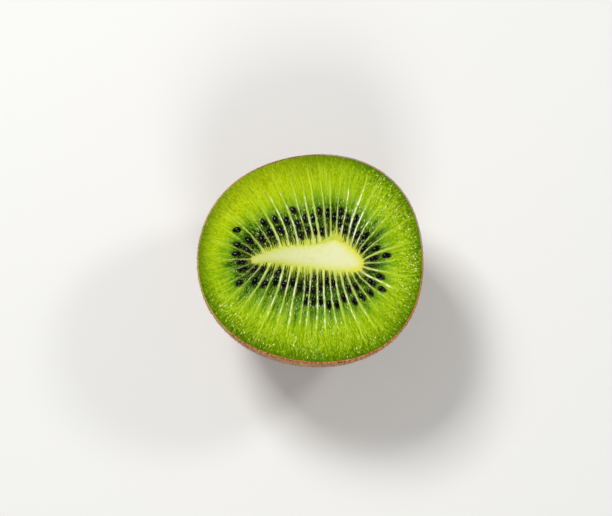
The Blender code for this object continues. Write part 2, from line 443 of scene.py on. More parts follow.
class FaceDetail:
    """Masks over the cut face: ripeness, pale spokes, deep-lying seeds with painted shade round the clear
    ones, painted glints on the spokes, specks with painted glints, and painted bead glints.
    """

    def __init__(self, turn, outward, seeds):
        draw = np.random.default_rng(12)
        self.turn, self.outward = turn, outward
        self.points = blunted_point(turn, outward)
        self.pitch = spoke_pitch(turn, outward)
        self.streaks = drift(turn, outward, SPOKES * 5, 4, draw)
        self.fibres = drift(turn, outward, SPOKES * 6, 14, draw)
        self.sway = 0.12 * drift(turn, outward, SPOKES, 3, draw)
        self.sway += 0.03 * drift(turn, outward, SPOKES, 9, draw)
        self.spokes, self.painted_glints = self.spoke_masks(draw)
        self.ripe = self.ripeness(draw)
        self.deep_seeds_and_shade = self.deep_seed_and_shade_mask(draw, seeds)
        self.specks_and_glints = self.speck_mask()
        self.bead_glint_share = self.bead_glint_mask()

    def masks(self):
        """The masks that the flesh's material reads, by name."""
        names = ("spokes", "ripe", "deep_seeds_and_shade", "painted_glints", "specks_and_glints", "bead_glint_share")
        return {name: getattr(self, name) for name in names}

    def spoke_masks(self, draw):
        """(pale spokes, painted glints along one flank of them)."""
        strength = draw.uniform(0.55, 1.0, SPOKES)
        ends = draw.uniform(0.80, 1.02, SPOKES)
        widths = draw.uniform(0.80, 1.15, SPOKES)
        offsets = draw.uniform(-0.10, 0.10, SPOKES)
        place = self.turn * SPOKES + self.sway
        flare = 1 + 0.8 * np.exp(-self.outward / 0.025)
        lumps = 1 + 0.30 * drift(self.turn, self.outward, SPOKES, 16, draw)
        half_width = SPOKE_HALF_WIDTH * flare * lumps * (1 - 0.35 * self.outward)
        half_width = np.minimum(half_width, 0.26 * self.pitch)
        dim = 1 - in_sectors(self.turn, DIM_SPOKE_SECTORS)
        shine = in_sectors(self.turn, GLINT_SECTORS)
        reach = ease((self.outward - 0.03) / 0.08) * (1 - ease((self.outward - 0.52) / 0.24))
        broken = ease(0.55 + 1.7 * drift(self.turn, self.outward, SPOKES * 2, 28, draw))
        spokes = np.zeros_like(self.outward)
        painted_glints = spokes.copy()
        for step in (-1, 0, 1):
            spoke = np.round(place).astype(int) + step
            index = spoke % SPOKES
            off = (place - spoke - offsets[index]) * self.pitch
            fade = 1 - ease((self.outward - ends[index] + 0.26) / 0.38)
            width = half_width * widths[index]
            spokes = np.maximum(spokes, np.exp(-((off / width) ** 2)) * fade * strength[index])
            # Painted glints: a narrow near-white highlight along one flank of each spoke
            flank = np.exp(-(((off + 0.2 * width) / (0.44 * width)) ** 2))
            painted_glints = np.maximum(painted_glints, flank * fade * strength[index])
        near_core = 0.75 * np.exp(-self.outward / 0.04)
        return spokes * np.maximum(dim, near_core), ease((painted_glints * shine * reach * broken - 0.34) / 0.28)

    def ripeness(self, draw):
        """The outward share that the colour between the spokes follows: uneven and shifted by sector."""
        uneven = 0.055 * drift(self.turn + 0.5 / SPOKES, self.outward, SPOKES, 1, draw)
        outer = ease((self.outward - 0.34) / 0.16)
        uneven = uneven + (0.050 + 0.070 * outer) * self.streaks + 0.020 * self.fibres
        between = 0.5 - 0.5 * np.cos(TAU * (SPOKES * self.turn + self.sway))
        between = between * ease((self.outward - 0.36) / 0.12)
        uneven = uneven - 0.14 * between * in_sectors(self.turn, STREAKED_SECTORS)
        uneven = uneven - in_sectors(self.turn, DARKER_SECTORS)
        inner = ease(self.outward / 0.10) * (1 - ease((self.outward - 0.54) / 0.38))
        return self.outward + uneven * inner

    def deep_seed_and_shade_mask(self, draw, seeds):
        """Blurred seeds that lie below the cut, between the clear ones, and a thin shade round those."""
        deep_seeds_and_shade = np.zeros_like(self.spokes)
        placed = list(seeds)
        for chamber in range(SPOKES):
            for distance in (draw.uniform(2.0, 4.6), draw.uniform(4.8, 7.8)):
                seed = seed_at(chamber, distance, draw.uniform(-0.2, 0.2))
                outward = outward_at((chamber + 0.5) / SPOKES, distance * MM)
                dropped = draw.random() < DEEP_SEED_DROP_SHARE or outward > DEEP_SEED_REACH
                if dropped or not is_clear(seed[0], placed):
                    continue
                placed.append(seed)
                near = seed_distance(self.points, seed, SEED_LENGTH, SEED_WIDTH * 0.85)
                deep_seeds_and_shade = np.maximum(deep_seeds_and_shade, draw.uniform(0.5, 0.95) * (1 - ease((near - 0.55) / 0.65)))
        # Painted shade: a thin dark ring round each clear seed where it sits in the flesh
        for seed in seeds:
            near = seed_distance(self.points, seed, SEED_LENGTH, SEED_WIDTH)
            deep_seeds_and_shade = np.maximum(deep_seeds_and_shade, 0.8 * (1 - ease((near - 0.95) / 0.22)))
        return deep_seeds_and_shade * (1 - 0.8 * self.spokes)

    def speck_mask(self):
        """Where the outer flesh is strewn with bright specks: partly pale juice cells, partly painted
        glints.
        """
        band = ease((self.outward - 0.40) / 0.25) * (1 - ease((self.outward - 0.95) / 0.05))
        return np.clip(in_sectors(self.turn, SPECKLED_SECTORS), 0, 1) * band

    def bead_glint_mask(self):
        """Where painted glints of juice beads stand in the seed chambers, most of all in the glint
        sectors.
        """
        band = ease(self.outward / 0.06) * (1 - ease((self.outward - 0.36) / 0.22))
        return np.clip(0.34 + 0.45 * in_sectors(self.turn, GLINT_SECTORS), 0, 0.88) * band

    def height(self):
        """The part's relief with ridged spokes, fibres and a rolled rim."""
        base = face_height(self.turn, self.outward)
        ridge = SPOKE_RIDGE * self.spokes * ease(self.outward / 0.05)
        fibre = FIBRE_RELIEF * (self.fibres + 0.5 * self.streaks) * ease(self.outward / 0.04)
        roll = RIM_ROLL * ease((self.outward - 0.975) / 0.025)
        return base + ridge + fibre - roll


def mesh_object(name, points, faces, material, attributes=None):
    """A smooth mesh object from points and faces, with named point attributes."""
    mesh = bpy.data.meshes.new(name)
    corners = np.concatenate([group.ravel() for group in faces])
    sizes = np.concatenate([np.full(len(group), group.shape[1]) for group in faces])
    starts = np.concatenate(([0], np.cumsum(sizes)[:-1]))
    mesh.vertices.add(len(points))
    mesh.vertices.foreach_set("co", np.asarray(points, np.float32).ravel())
    mesh.loops.add(len(corners))
    mesh.loops.foreach_set("vertex_index", corners.astype(np.int32))
    mesh.polygons.add(len(sizes))
    mesh.polygons.foreach_set("loop_start", starts.astype(np.int32))
    mesh.update(calc_edges=True)
    mesh.shade_smooth()
    mesh.set_sharp_from_angle(angle=math.radians(60))
    for label, values in (attributes or {}).items():
        kind, field = ("FLOAT_VECTOR", "vector") if values.ndim == 2 else ("FLOAT", "value")
        layer = mesh.attributes.new(label, kind, "POINT")
        layer.data.foreach_set(field, values.astype(np.float32).ravel())
    mesh.materials.append(material)
    made = bpy.data.objects.new(name, mesh)
    bpy.context.scene.collection.objects.link(made)
    return made


def outward_facing(points, faces):
    """The faces, turned round where the closed mesh would be inside out."""
    volume = 0.0
    for group in faces:
        for corner in range(1, group.shape[1] - 1):
            a, b, c = points[group[:, 0]], points[group[:, corner]], points[group[:, corner + 1]]
            volume += np.einsum("ij,ij->i", a, np.cross(b, c)).sum()
    return faces if volume > 0 else [group[:, ::-1] for group in faces]


def lofted(name, rings, material, caps=None, attributes=None):
    """A closed mesh through rings of points: capped by two points or, without caps, a hollow ring."""
    rows, columns = rings.shape[:2]
    grid = np.arange(rows * columns).reshape(rows, columns)
    upper = grid if caps is None else grid[:-1]
    lower = np.roll(grid, -1, axis=0) if caps is None else grid[1:]
    after = [np.roll(row, -1, axis=1) for row in (upper, lower)]
    faces = [np.stack((upper, lower, after[1], after[0]), axis=-1).reshape(-1, 4)]
    points = rings.reshape(-1, 3)
    if caps is not None:
        first, last = len(points), len(points) + 1
        points = np.vstack((points, caps))
        for row, tip, order in ((grid[0], first, 1), (grid[-1], last, -1)):
            fan = np.stack((np.full(columns, tip), row, np.roll(row, -1)), axis=-1)
            faces.append(fan[:, ::order])
    flat = {}
    for label, values in (attributes or {}).items():
        values = values.reshape(rows * columns, *values.shape[2:])
        ends = [values[:columns].mean(axis=0), values[-columns:].mean(axis=0)]
        flat[label] = values if caps is None else np.concatenate((values, np.array(ends)))
    return mesh_object(name, points, outward_facing(points, faces), material, flat)


def fan_attribute(turn, outward):
    """Round place as a cosine and a sine, and the outward share, for seamless shading."""
    return np.stack((np.cos(TAU * turn), np.sin(TAU * turn), outward), axis=-1)


def edge_padded(values, before, after):
    """Rows of values, with the first and the last of them repeated for the rings that follow."""
    return np.pad(values, ((before, after),) + ((0, 0),) * (values.ndim - 1), "edge")


def make_flesh(seeds, material):
    """The flesh: its cut face on the fan, a socket for the core, and the body inside the skin."""
    columns = SPOKES * COLUMNS_PER_SPOKE
    shares = np.concatenate((np.linspace(0, FACE_ROWS_REACH, FACE_ROWS), RIM_ROWS))
    turn, outward = np.meshgrid(np.arange(columns) / columns, shares)
    detail = FaceDetail(turn, outward, seeds)
    rim = np.linalg.norm(rim_point(spoke_angle(turn)), axis=-1)
    flat = detail.points * (1 - SKIN_THICKNESS / rim * outward**8)[..., None]
    face = np.dstack((flat, detail.height()))
    middle = np.array((CORE_MIDDLE_X, 0.0, HEIGHT))
    wall = face[0] - (0, 0, SOCKET_WALL_DEPTH_SHARE * CORE_SOCKET_DEPTH)
    floor = middle + (face[0] - middle) * SOCKET_FLOOR_WIDTH_SHARE - (0, 0, CORE_SOCKET_DEPTH)
    turn_below, down = np.meshgrid(turn[0], np.linspace(0.01, 1, BODY_ROWS))
    here, normal, _, _ = side_frame(turn_below, down)
    body = here - normal * SKIN_THICKNESS
    scar = body[-1] * (0.5, 0.5, 1.0)
    scar_floor = body[-1] * (0.36, 0.36, 0.0) + (0, 0, SCAR_DEPTH + SKIN_THICKNESS)
    rings = np.concatenate((floor[None], wall[None], face, body, scar[None], scar_floor[None]))
    reach = edge_padded(outward, 2, BODY_ROWS + 2)
    around = np.broadcast_to(turn[0], reach.shape)
    attributes = {"fan": fan_attribute(around, reach)}
    for label, mask in detail.masks().items():
        attributes[label] = edge_padded(mask, 2, BODY_ROWS + 2)
    caps = np.array((middle - (0, 0, CORE_SOCKET_DEPTH), (0, 0, SCAR_DEPTH + SKIN_THICKNESS)))
    return lofted("flesh", rings, material, caps, attributes)


def make_core(material):
    """The pale core: a low dome whose edge meets the flesh, on a plug that stands in its socket."""
    columns = SPOKES * COLUMNS_PER_SPOKE
    turn, outward = np.meshgrid(np.arange(columns) / columns, np.linspace(-0.97, 0, CORE_ROWS))
    share = 1 + outward
    draw = np.random.default_rng(3)
    grain = CORE_GRAIN * (drift(turn, share, SPOKES * 3, 16, draw) + drift(turn, share, SPOKES, 7, draw))
    height = HEIGHT + CORE_RISE * (1 - share**2) + grain * (1 - share**12)
    top = np.dstack((blunted_point(turn, outward), height))
    middle = np.array((CORE_MIDDLE_X, 0.0, HEIGHT))
    plug = []
    for width, depth in CORE_PLUG_SHARES:
        below = middle - (0, 0, depth * CORE_SOCKET_DEPTH)
        plug.append(below + (top[-1] - middle) * (width, width, 1.0))
    rings = np.concatenate((top, plug))
    caps = np.array((middle + (0, 0, CORE_RISE), below))
    border = top[-1, :, :2]
    inset = [np.linalg.norm(ring[:, None, :2] - border[None], axis=-1).min(axis=1) for ring in top]
    attributes = {
        "fan": edge_padded(fan_attribute(turn, outward), 0, len(plug)),
        "teeth": edge_padded(0.5 + 0.5 * np.cos(TAU * SPOKES * turn), 0, len(plug)),
        "inset": edge_padded(np.array(inset) / MM, 0, len(plug)),
    }
    return lofted("core", rings, material, caps, attributes)


def seed_shape(rings, sides):
    """(points, quads, end triangles) of a seed of size 1, blunt at -X and narrow at +X."""
    leans = np.linspace(0, math.pi, rings + 2)[1:-1]
    lean, around = np.meshgrid(leans, np.arange(sides) / sides * TAU, indexing="ij")
    along, radius = np.cos(lean) / 2, np.sin(lean) / 2
    narrow = radius * (1 - SEED_TAPER * along * 2)
    points = np.stack((along, narrow * np.cos(around), narrow * np.sin(around)), axis=-1)
    points = np.vstack((points.reshape(-1, 3), (0.5, 0, 0), (-0.5, 0, 0)))
    grid = np.arange(rings * sides).reshape(rings, sides)
    ahead = np.roll(grid, -1, axis=1)
    quads = np.stack((grid[:-1], grid[1:], ahead[1:], ahead[:-1]), axis=-1).reshape(-1, 4)
    tips = [
        np.stack((np.full(sides, rings * sides), grid[0], ahead[0]), axis=-1),
        np.stack((np.full(sides, rings * sides + 1), ahead[-1], grid[-1]), axis=-1),
    ]
    return points, quads, np.vstack(tips)


def make_seeds(seeds, material):
    """All seeds in one mesh: flattened beads, blunt towards the core and narrow outwards."""
    shape, quads, tips = seed_shape(15, 20)
    draw = np.random.default_rng(8)
    points, all_quads, all_tips, tint = [], [], [], []
    for number, (place, heading, floor) in enumerate(seeds):
        shares = draw.uniform(SEED_LEAST_SHARES, SEED_GREATEST_SHARES)
        size = np.array((SEED_LENGTH, SEED_WIDTH, SEED_THICKNESS)) * shares
        local = shape * size
        local[:, 1] += SEED_BEND * size[1] * draw.uniform(-1, 1) * (1 - (2 * shape[:, 0]) ** 2)
        along_x, along_y = math.cos(heading), math.sin(heading)
        x = place[0] + local[:, 0] * along_x - local[:, 1] * along_y
        y = place[1] + local[:, 0] * along_y + local[:, 1] * along_x
        points.append(np.stack((x, y, floor - SEED_SINK + local[:, 2]), axis=-1))
        all_quads.append(quads + number * len(shape))
        all_tips.append(tips + number * len(shape))
        tint.append(np.full(len(shape), draw.random()))
    points = np.vstack(points)
    faces = outward_facing(points, [np.vstack(all_quads), np.vstack(all_tips)])
    return mesh_object("seeds", points, faces, material, {"tint": np.concatenate(tint)})


def foot_rings(foot, profile):
    """Rings inside the edge of the foot, one for each radius and height of a profile."""
    rings = []
    for radius, height in profile:
        narrowing = radius / FOOT_RADIUS
        rings.append(foot * (narrowing, narrowing, 0) + (0, 0, height))
    return rings


def make_skin(material):
    """A thin shell round the flesh, with an uneven upper edge and a russet, wrinkled outside."""
    draw = np.random.default_rng(21)
    downs = np.concatenate((SKIN_TOP_ROWS, np.linspace(0.012, 1, SKIN_ROWS)))
    turn, down = np.meshgrid(np.arange(SKIN_COLUMNS) / SKIN_COLUMNS, downs)
    here, normal, _, _ = side_frame(turn, down)
    wrinkles = (
        0.050 * drift(turn, down, 70, 30, draw)
        + 0.030 * drift(turn, down, 160, 60, draw)
        + 0.015 * drift(turn, down, 252, 80, draw)
    )
    depth = HEIGHT - here[..., 2]
    calm = ease(depth / (0.8 * MM)) * (1 - ease((down - 0.93) / 0.06))
    lip = SKIN_LIP * (1 - ease(depth / (0.18 * MM)))
    outside = here + normal * (wrinkles * MM * calm - lip)[..., None]
    fine, coarse = (drift(turn[0], turn[0] * 0, cells, 1, draw) for cells in (190, 60))
    ragged = SKIN_RAGGED_EDGE * (fine + coarse)
    outside[0, :, 2] += ragged
    inside = (here - normal * SKIN_THICKNESS)[::SKIN_INSIDE_STEP]
    inside[0, :, 2] += ragged
    under = foot_rings(here[-1], FOOT_OUTSIDE + FOOT_INSIDE)
    rings = np.concatenate((outside, under, inside[::-1]))
    turns = np.broadcast_to(turn[0], rings.shape[:2])
    downs = np.concatenate((down, np.ones((len(under), SKIN_COLUMNS)), down[::SKIN_INSIDE_STEP][::-1]))
    return lofted("skin", rings, material, None, {"fan": fan_attribute(turns, downs)})


def make_down(material):
    """Short, lying, slightly bent hairs all over the skin, in one mesh of thin closed spikes."""
    draw = np.random.default_rng(34)
    turn = draw.random(HAIRS * 2)
    down = draw.uniform(0.004, 0.985, HAIRS * 2)
    radius = np.linalg.norm(side_point(turn[None], down[None])[0, :, :2], axis=-1)
    kept = np.nonzero(draw.random(HAIRS * 2) < radius / radius.max())[0][:HAIRS]
    root, normal, round_it, down_it = (a[0] for a in side_frame(turn[kept][None], down[kept][None]))
    count = len(kept)
    length = draw.uniform(*HAIR_LENGTH_MM, count)[:, None] * MM
    tilt = draw.uniform(*HAIR_TILT, count)[:, None]
    swing = draw.normal(0.0, 1.0, count)[:, None]
    lying = down_it * np.cos(swing) + round_it * np.sin(swing)
    first = normal * np.cos(tilt) + lying * np.sin(tilt)
    second = normal * np.cos(tilt + HAIR_BEND) + lying * np.sin(tilt + HAIR_BEND)
    bend, tip = root + first * length * 0.5, root + (first + second) * length * 0.5
    across = np.cross(first, normal)
    across /= np.linalg.norm(across, axis=-1, keepdims=True)
    upward = np.cross(across, first)
    points = []
    for place, thickness in ((root - normal * HAIR_ROOT_DEPTH, 1.0), (bend, 0.8)):
        for corner in range(3):
            angle = TAU * corner / 3
            away = across * math.cos(angle) + upward * math.sin(angle)
            points.append(place + away * HAIR_RADIUS * thickness)
    points.append(tip)
    points = np.stack(points, axis=1)
    points[..., 2] = np.maximum(points[..., 2], HAIR_LOWEST)
    pattern = [(0, 2, 1)]
    for corner in range(3):
        after = (corner + 1) % 3
        pattern.append((corner, after, 3 + after))
        pattern.append((corner, 3 + after, 3 + corner))
        pattern.append((3 + corner, 3 + after, 6))
    faces = (np.arange(count)[:, None, None] * 7 + np.array(pattern)[None]).reshape(-1, 3)
    tint = np.repeat(draw.random(count), 7)
    points = points.reshape(-1, 3)
    return mesh_object("down", points, outward_facing(points, [faces]), material, {"tint": tint})


def make_stem_scar(material):
    """The woody disc where the stem broke off, with a raised ring and radial cracks on its underside."""
    columns = 120
    draw = np.random.default_rng(55)
    turn, share = np.meshgrid(np.arange(columns) / columns, np.linspace(0.06, 1, 22))
    cracks = drift(turn, share, 24, 3, draw) + 0.5 * drift(turn, share, 60, 8, draw)
    ring = 0.14 * np.exp(-(((share - 0.55) / 0.12) ** 2))
    height = SCAR_DEPTH - MM * (0.05 * cracks + ring + 0.05 * share)
    radius = share * (SCAR_FLOOR_RADIUS + 0.12 * MM)
    under = np.dstack((radius * np.cos(TAU * turn), radius * np.sin(TAU * turn), height))
    top_middle = (0, 0, SCAR_DEPTH + 0.3 * MM)
    rings = np.concatenate((under, (under[-1] * (1, 1, 0) + top_middle)[None]))
    fan = edge_padded(fan_attribute(turn, share), 0, 1)
    caps = np.array(((0, 0, SCAR_DEPTH - 0.05 * MM), top_middle))
    return lofted("stem_scar", rings, material, caps, {"fan": fan})


def rgb(red, green, blue):
    """A linear colour from display values of 0 to 255."""
    def linear(value):
        share = value / 255
        return share / 12.92 if share <= 0.04045 else ((share + 0.055) / 1.055) ** 2.4

    return (linear(red), linear(green), linear(blue), 1.0)


class Shader:
    """The nodes of one material. Its methods return sockets, and take sockets or plain values."""

    def __init__(self, name):
        self.material = bpy.data.materials.new(name)
        self.material.use_nodes = True
        self.tree = self.material.node_tree
        self.surface = self.tree.nodes["Principled BSDF"]

    def node(self, kind, inputs=(), **settings):
        made = self.tree.nodes.new(kind)
        for key, value in settings.items():
            setattr(made, key, value)
        for key, value in dict(inputs).items():
            self.join(value, made.inputs[key])
        return made

    def join(self, value, socket):
        if isinstance(value, bpy.types.NodeSocket):
            self.tree.links.new(value, socket)
        else:
            socket.default_value = value

    def attribute(self, name, output="Fac"):
        return self.node("ShaderNodeAttribute", attribute_name=name).outputs[output]

    def place(self):
        return self.node("ShaderNodeTexCoord").outputs["Object"]

    def axes(self, vector):
        """The X, Y and Z of a vector, or the red, green and blue of a colour."""
        return self.node("ShaderNodeSeparateXYZ", {0: vector}).outputs

    def stretched(self, vector, *scales):
        return self.node("ShaderNodeVectorMath", {0: vector, 1: scales}, operation="MULTIPLY").outputs[0]

    def fan(self, round_scale, out_scale):
        """The fan's seamless coordinates, stretched."""
        return self.stretched(self.attribute("fan", "Vector"), round_scale, round_scale, out_scale)

    def outward(self):
        return self.axes(self.attribute("fan", "Vector"))["Z"]

    def math(self, operation, first, second):
        return self.node("ShaderNodeMath", {0: first, 1: second}, operation=operation).outputs[0]

    def plus(self, first, second):
        return self.math("ADD", first, second)

    def minus(self, first, second):
        return self.math("SUBTRACT", first, second)

    def times(self, first, second):
        return self.math("MULTIPLY", first, second)

    def larger(self, first, second):
        return self.math("MAXIMUM", first, second)

    def range(self, value, low, high, to_low=0.0, to_high=1.0):
        """A smooth passage from one value to another, while the input goes from low to high."""
        inputs = {0: value, 1: low, 2: high, 3: to_low, 4: to_high}
        return self.node("ShaderNodeMapRange", inputs, interpolation_type="SMOOTHSTEP").outputs[0]

    def noise(self, vector, scale=1.0, detail=2.0):
        inputs = {"Vector": vector, "Scale": scale, "Detail": detail}
        return self.node("ShaderNodeTexNoise", inputs).outputs[0]

    def cells(self, vector, scale=1.0):
        """Cells, with the Distance from a cell's middle and a Color drawn for each."""
        return self.node("ShaderNodeTexVoronoi", {"Vector": vector, "Scale": scale}).outputs

    def mix(self, factor, first, second, blend_type="MIX"):
        inputs = {0: factor, 6: first, 7: second}
        return self.node("ShaderNodeMix", inputs, data_type="RGBA", blend_type=blend_type).outputs[2]

    def tinted(self, colour, red, green, blue):
        """The colour multiplied by these shares."""
        return self.mix(1.0, colour, (red, green, blue, 1.0), "MULTIPLY")

    def ramp(self, factor, stops):
        made = self.node("ShaderNodeValToRGB", {0: factor})
        elements = made.color_ramp.elements
        while len(elements) < len(stops):
            elements.new(1.0)
        for element, (position, *colour) in zip(elements, stops):
            element.position = position
            element.color = rgb(*colour)
        return made.outputs[0]

    def bump(self, height, distance):
        inputs = {"Height": height, "Distance": distance, "Strength": 1.0}
        return self.node("ShaderNodeBump", inputs).outputs[0]

    def finish(self, **sockets):
        for name, value in sockets.items():
            self.join(value, self.surface.inputs[name.replace("_", " ")])
        return self.material


def flesh_ground(s, outward, fibres, patches):
    """The flesh between the spokes, coloured by ripeness, with painted light: brighter towards the upper
    left and at the right and upper-left rim, duller elsewhere.
    """
    slope = s.node("ShaderNodeVectorMath", {0: s.place(), 1: (-22.0, 34.0, 0.0)}, operation="DOT_PRODUCT")
    upper_left = slope.outputs["Value"]
    right = s.axes(s.place())["X"]
    # Painted light: the rim is brightened at the right and upper left
    painted_rim_light = s.plus(s.range(right, 0.014, 0.026, 0.0, 0.35), s.range(upper_left, 0.72, 1.0))
    painted_rim_light = s.times(painted_rim_light, s.range(outward, 0.78, 0.96, 0.0, 0.06))
    wander = s.times(s.minus(s.plus(fibres, patches), 1.0), 0.14)
    wander = s.minus(s.times(wander, s.range(outward, 0.0, 0.15)), painted_rim_light)
    colour = s.ramp(s.plus(s.attribute("ripe"), wander), FLESH_COLOURS)
    # Painted light: the colour is brightened towards the upper left and dulled elsewhere
    painted_light_share = s.range(upper_left, 0.28, 0.95)
    painted_light_tone = s.mix(painted_light_share, (0.84, 0.90, 1.0, 1.0), (1.26, 1.09, 0.9, 1.0))
    return s.mix(1.0, colour, painted_light_tone, "MULTIPLY")


def with_dashes(s, colour, outward, dashes):
    """Light and dull dashes along the fibres, stronger where the flesh is strewn with specks and painted
    glints.
    """
    light, dull = s.tinted(colour, 1.20, 1.15, 1.3), s.tinted(colour, 0.78, 0.85, 0.7)
    juicy_and_glinting, deep_green = s.tinted(colour, 1.46, 1.33, 2.8), s.tinted(colour, 0.46, 0.62, 0.35)
    near_rim = s.times(s.attribute("specks_and_glints"), s.range(outward, 0.62, 0.86, 0.35, 1.0))
    light, dull = s.mix(near_rim, light, juicy_and_glinting), s.mix(near_rim, dull, deep_green)
    return s.mix(s.range(dashes, 0.38, 0.62), dull, light)


def with_flecks(s, colour, outward):
    """Pale flecks and dark pinches in the seed chambers."""
    flecks = s.range(s.noise(s.fan(110, 30), detail=1.0), 0.55, 0.61, 0.0, 0.85)
    flecks = s.times(flecks, s.range(outward, 0.66, 0.44))
    colour = s.mix(s.times(flecks, s.range(outward, 0.02, 0.10)), colour, rgb(150, 184, 58))
    pinches = s.range(s.noise(s.fan(96, 22), detail=1.0), 0.53, 0.45, 0.0, 0.92)
    return s.mix(s.times(pinches, s.range(outward, 0.54, 0.26)), colour, rgb(14, 28, 6))


def with_core_fringe(s, colour, outward, patches):
    """The core's yellow, spilled a little into the flesh and drawn out into short streaks."""
    spill = s.range(s.noise(s.fan(52, 3)), 0.42, 0.62, -0.02, 0.044)
    spill = s.range(s.minus(outward, spill), 0.018, 0.004, 0.0, 0.9)
    colour = s.mix(spill, colour, rgb(202, 210, 62))
    streaks = s.range(s.noise(s.fan(46, 2.2), detail=1.0), 0.52, 0.60)
    strength = s.range(s.axes(s.place())["X"], -0.014, -0.006, 0.0, 0.75)
    fringe = s.plus(outward, s.times(s.minus(patches, 0.5), 0.16))
    fringe = s.range(fringe, 0.15, 0.05, 0.0, strength)
    return s.mix(s.times(streaks, fringe), colour, rgb(192, 204, 48))


def with_threads(s, colour, outward):
    """Pale threads through the outer flesh."""
    threads = s.range(s.noise(s.fan(32, 2.5)), 0.46, 0.66)
    threads = s.times(threads, s.range(outward, 0.94, 0.74))
    threads = s.times(threads, s.range(outward, 0.38, 0.60, 0.0, 0.42))
    return s.mix(threads, colour, rgb(188, 212, 48))


def with_spokes(s, colour, outward):
    """The pale, frayed spokes and the painted glints on them."""
    pale = s.ramp(outward, SPOKE_COLOURS)
    lines = s.range(s.noise(s.fan(100, 2)), 0.40, 0.60)
    pale = s.mix(lines, s.tinted(pale, 0.70, 0.80, 0.50), pale)
    frayed = s.times(s.minus(s.noise(s.fan(84, 22)), 0.5), 1.1)
    frayed = s.times(frayed, s.range(outward, 0.01, 0.08))
    spokes = s.attribute("spokes")
    spokes = s.plus(spokes, s.times(frayed, s.range(spokes, 0.0, 0.3)))
    colour = s.mix(s.range(spokes, 0.10, 0.80, 0.0, 0.95), colour, pale)
    # Painted glints: near-white highlight colour laid along the spokes' flanks
    return s.mix(s.times(s.attribute("painted_glints"), 0.95), colour, rgb(250, 252, 226))


def with_specks(s, colour, patches):
    """(colour, mask): bright specks strewn over the outer flesh, in two sizes: partly pale juice cells,
    partly painted glints.
    """
    crowding = s.times(s.attribute("specks_and_glints"), s.range(patches, 0.35, 0.6, 0.2, 0.5))
    mask = 0.0
    for round_scale, out_scale, rarity, strength, tint in SPECKS_AND_GLINTS:
        cell = s.cells(s.fan(round_scale, out_scale))
        drawn = s.axes(cell["Color"])
        chosen = s.range(s.plus(drawn["X"], crowding), rarity, rarity + 0.3, 0.0, strength)
        edge = s.range(drawn["Y"], 0.0, 1.0, 0.26, 0.62)
        specks_and_glints = s.times(chosen, s.range(cell["Distance"], edge, 0.1))
        colour = s.mix(specks_and_glints, colour, rgb(*tint))
        mask = s.larger(mask, specks_and_glints)
    return colour, mask


def with_bead_glints(s, colour):
    """(colour, mask): painted glints of juice beads in the seed chambers."""
    cell = s.cells(s.fan(58, 34))
    level = s.plus(s.axes(cell["Color"])["X"], s.times(s.attribute("bead_glint_share"), 0.20))
    bead_glints = s.times(s.range(level, 1.00, 1.05), s.range(cell["Distance"], 0.42, 0.22, 0.0, 0.95))
    # Painted glints: whitish dots laid over the chamber colour
    return s.mix(bead_glints, colour, rgb(232, 242, 200)), bead_glints


def flesh_material():
    s = Shader("kiwi_flesh")
    outward = s.outward()
    fibres = s.noise(s.fan(64, 7), detail=3.0)
    patches = s.noise(s.place(), 170.0, 3.0)
    dashes = s.noise(s.fan(82, 24))
    colour = flesh_ground(s, outward, fibres, patches)
    colour = with_dashes(s, colour, outward, dashes)
    colour = with_flecks(s, colour, outward)
    colour = with_core_fringe(s, colour, outward, patches)
    colour = with_threads(s, colour, outward)
    # Deep-lying seeds, and painted shade round the clear seeds, in one dark colour
    colour = s.mix(s.times(s.attribute("deep_seeds_and_shade"), 0.88), colour, rgb(17, 22, 12))
    colour = with_spokes(s, colour, outward)
    colour, specks_and_glints = with_specks(s, colour, patches)
    colour, bead_glints = with_bead_glints(s, colour)
    glossy = s.larger(s.attribute("painted_glints"), s.larger(specks_and_glints, bead_glints))
    rough = s.plus(s.times(glossy, -0.06), s.range(outward, 0.20, 0.50, 0.15, 0.27))
    relief = s.bump(s.plus(s.times(fibres, 1.5), dashes), 0.000010)
    return s.finish(Base_Color=colour, Roughness=rough, Normal=relief, IOR=1.33, Specular_IOR_Level=0.10)


def core_material():
    s = Shader("kiwi_core")
    place = s.axes(s.place())
    grain = s.noise(s.place(), 900.0, 3.0)
    rays = s.noise(s.fan(34, 3))
    teeth = s.plus(s.times(s.attribute("teeth"), 0.3), s.times(rays, 1.5))
    left = s.range(place["X"], -0.003, -0.014, 0.60, 0.66)
    right = s.range(place["X"], 0.0070, 0.0125, 0.0, 0.35)
    hump = s.range(place["Y"], 0.0026, 0.0050, 0.0, 1.5)
    inset = s.minus(s.plus(s.attribute("inset"), teeth), s.plus(s.plus(left, right), hump))
    colour = s.ramp(s.math("DIVIDE", inset, 3.0), CORE_COLOURS)
    colour = s.mix(s.range(grain, 0.35, 0.75, 0.0, 0.30), colour, rgb(212, 215, 132))
    colour = s.mix(s.range(place["X"], 0.008, -0.013), colour, s.tinted(colour, 0.80, 0.83, 0.76))
    warm = s.times(s.range(place["X"], 0.0060, 0.0115, 0.0, 0.7), s.range(inset, 1.3, 0.2))
    colour = s.mix(warm, colour, rgb(226, 218, 66))
    gaps = s.plus(s.noise(s.fan(52, 3)), s.times(s.attribute("teeth"), 0.12))
    near_edge = s.range(s.attribute("inset"), 0.55, 0.10)
    bites = s.times(s.range(gaps, 0.50, 0.38, 0.0, 0.85), near_edge)
    colour = s.mix(bites, colour, rgb(112, 134, 22))
    relief = s.bump(s.plus(grain, rays), 0.000015)
    return s.finish(
        Base_Color=colour, Roughness=s.range(grain, 0.3, 0.7, 0.28, 0.40), Normal=relief, IOR=1.33
    )


